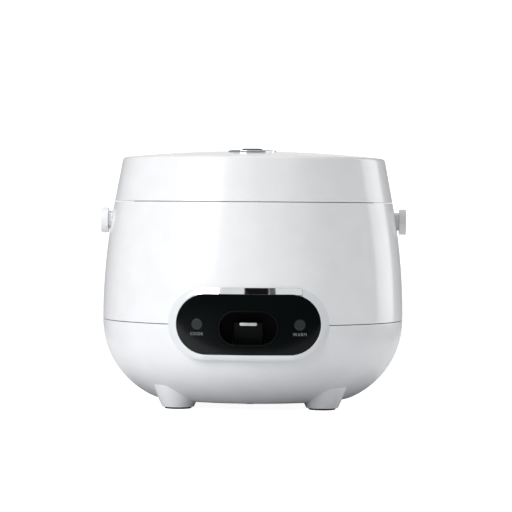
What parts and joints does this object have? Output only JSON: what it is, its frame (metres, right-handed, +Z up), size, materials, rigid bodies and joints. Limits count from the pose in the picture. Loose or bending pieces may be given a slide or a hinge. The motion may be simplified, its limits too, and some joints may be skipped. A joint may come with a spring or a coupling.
{
  "type": "rice cooker",
  "caption": "Round rice cooker with a hinged domed lid, black front panel with a cook lever and lamps, removable inner pot and folding carrying handle.",
  "frame": {"origin": "on the table, on the vertical axis of the round body", "axes": "+Z up, -Y is the front with the control panel, +X is to the right when looking at the front"},
  "size_m": [0.2538, 0.2717, 0.2114],
  "materials": {
    "white_plastic": "glossy moulded white",
    "pale_grey_plastic": "satin moulded pale grey",
    "panel_black": "high gloss black",
    "well_black": "fine satin black",
    "chrome": "mirror bright",
    "lamp_grey": "smoked translucent lens, unlit",
    "aluminium": "spun and brushed",
    "cast_aluminium": "machined casting",
    "pot_coating": "dark non-stick coating inside",
    "steel": "plain steel",
    "galvanised": "galvanised sheet",
    "rubber": "matt",
    "silicone": "translucent white silicone",
    "brass": "plain brass",
    "inlet_black": "moulded black",
    "ceramic": "unglazed ceramic",
    "ferrite": "dark sintered magnet"
  },
  "bodies": {
    "body": {"body_shell": "white_plastic", "base_shell": "white_plastic", "base_plate": "galvanised", "base_screws": "steel", "foot_front_left": "white_plastic", "foot_front_right": "white_plastic", "foot_rear_left": "white_plastic", "foot_rear_right": "white_plastic", "foot_pads": "rubber", "surround": "pale_grey_plastic", "panel": "panel_black", "chrome_strip": "chrome", "lever_well": "well_black", "lamp_cook": "lamp_grey", "lamp_warm": "lamp_grey", "lamp_holders": "inlet_black", "collar": "pale_grey_plastic", "pot_well": "aluminium", "well_posts": "steel", "heating_plate": "cast_aluminium", "heating_element": "steel", "plate_feet": "steel", "thermostat_housing": "aluminium", "thermostat_spring": "steel", "keep_warm_band": "galvanised", "thermal_fuse": "ceramic", "terminal_block": "ceramic", "power_inlet": "inlet_black", "inlet_pins": "brass", "cup_holder": "white_plastic", "hinge_block": "white_plastic", "hinge_pin": "steel", "handle_pivots": "white_plastic", "microswitch": "inlet_black", "lever_bracket": "galvanised", "lever_pin": "steel", "lever_spring": "steel"},
    "handle": {"handle": "white_plastic"},
    "pot": {"pot": "pot_coating"},
    "sensor": {"thermostat_cap": "aluminium", "sensor_ferrite": "ferrite"},
    "plunger": {"magnet_plunger": "ferrite"},
    "lever": {"cook_lever": "well_black", "lever_bar": "chrome"},
    "lid": {"lid_cover": "white_plastic", "lid_liner": "pale_grey_plastic", "lid_plate": "aluminium", "lid_gasket": "silicone", "vent_body": "pale_grey_plastic", "lid_hinge_arm": "white_plastic", "button_ring": "chrome", "lid_screws": "steel", "latch_pin": "steel", "button_spring": "steel"},
    "button": {"button": "well_black"},
    "latch": {"latch_lever": "inlet_black"},
    "vent_cap": {"vent_cap": "white_plastic"},
    "drip_cup": {"drip_cup": "pale_grey_plastic"}
  },
  "joints": [
    {"name": "lid_open", "type": "hinge", "parent": "body", "child": "lid", "pos_m": [0, 0.124, 0.171], "axis": [-1, 0, 0], "range_deg": [0, 88]},
    {"name": "handle_swing", "type": "hinge", "parent": "body", "child": "handle", "pos_m": [0, 0, 0.1522], "axis": [1, 0, 0], "range_deg": [0, 95]},
    {"name": "button_press", "type": "slide", "parent": "lid", "child": "button", "axis": [0, 0, -1], "range_m": [0, 0.003], "stiffness_N_per_m": 300, "springref_m": -0.001, "deforming": ["button_spring"]},
    {"name": "latch_tip", "type": "hinge", "parent": "lid", "child": "latch", "pos_m": [0, -0.09, 0.184], "axis": [-1, 0, 0], "range_deg": [0, 4.4]},
    {"name": "vent_cap_lift", "type": "slide", "parent": "lid", "child": "vent_cap", "axis": [0, 0, 1], "range_m": [0, 0.03]},
    {"name": "lever_press", "type": "hinge", "parent": "body", "child": "lever", "pos_m": [0, -0.058, 0.028], "axis": [1, 0, 0], "range_deg": [0, 8], "stiffness_Nm_per_rad": 0.6, "springref_deg": -2.86, "deforming": ["lever_spring"]},
    {"name": "plunger_lift", "type": "slide", "parent": "body", "child": "plunger", "axis": [0, 0, 1], "range_m": [0, 0.0082]},
    {"name": "sensor_sink", "type": "slide", "parent": "body", "child": "sensor", "axis": [0, 0, -1], "range_m": [0, 0.001], "stiffness_N_per_m": 800, "springref_m": -0.003, "deforming": ["thermostat_spring"]},
    {"name": "pot_spin", "type": "hinge", "parent": "body", "child": "pot", "pos_m": [0, 0, 0.0613], "axis": [0, 0, 1], "continuous": true},
    {"name": "drip_cup_slide", "type": "slide", "parent": "body", "child": "drip_cup", "axis": [0, 1, 0], "range_m": [0, 0.035]}
  ],
  "couplings": [
    {"joint": "latch_tip", "follows": "button_press", "rad_per_m": 25},
    {"joint": "plunger_lift", "follows": "lever_press", "m_per_rad": 0.058}
  ]
}
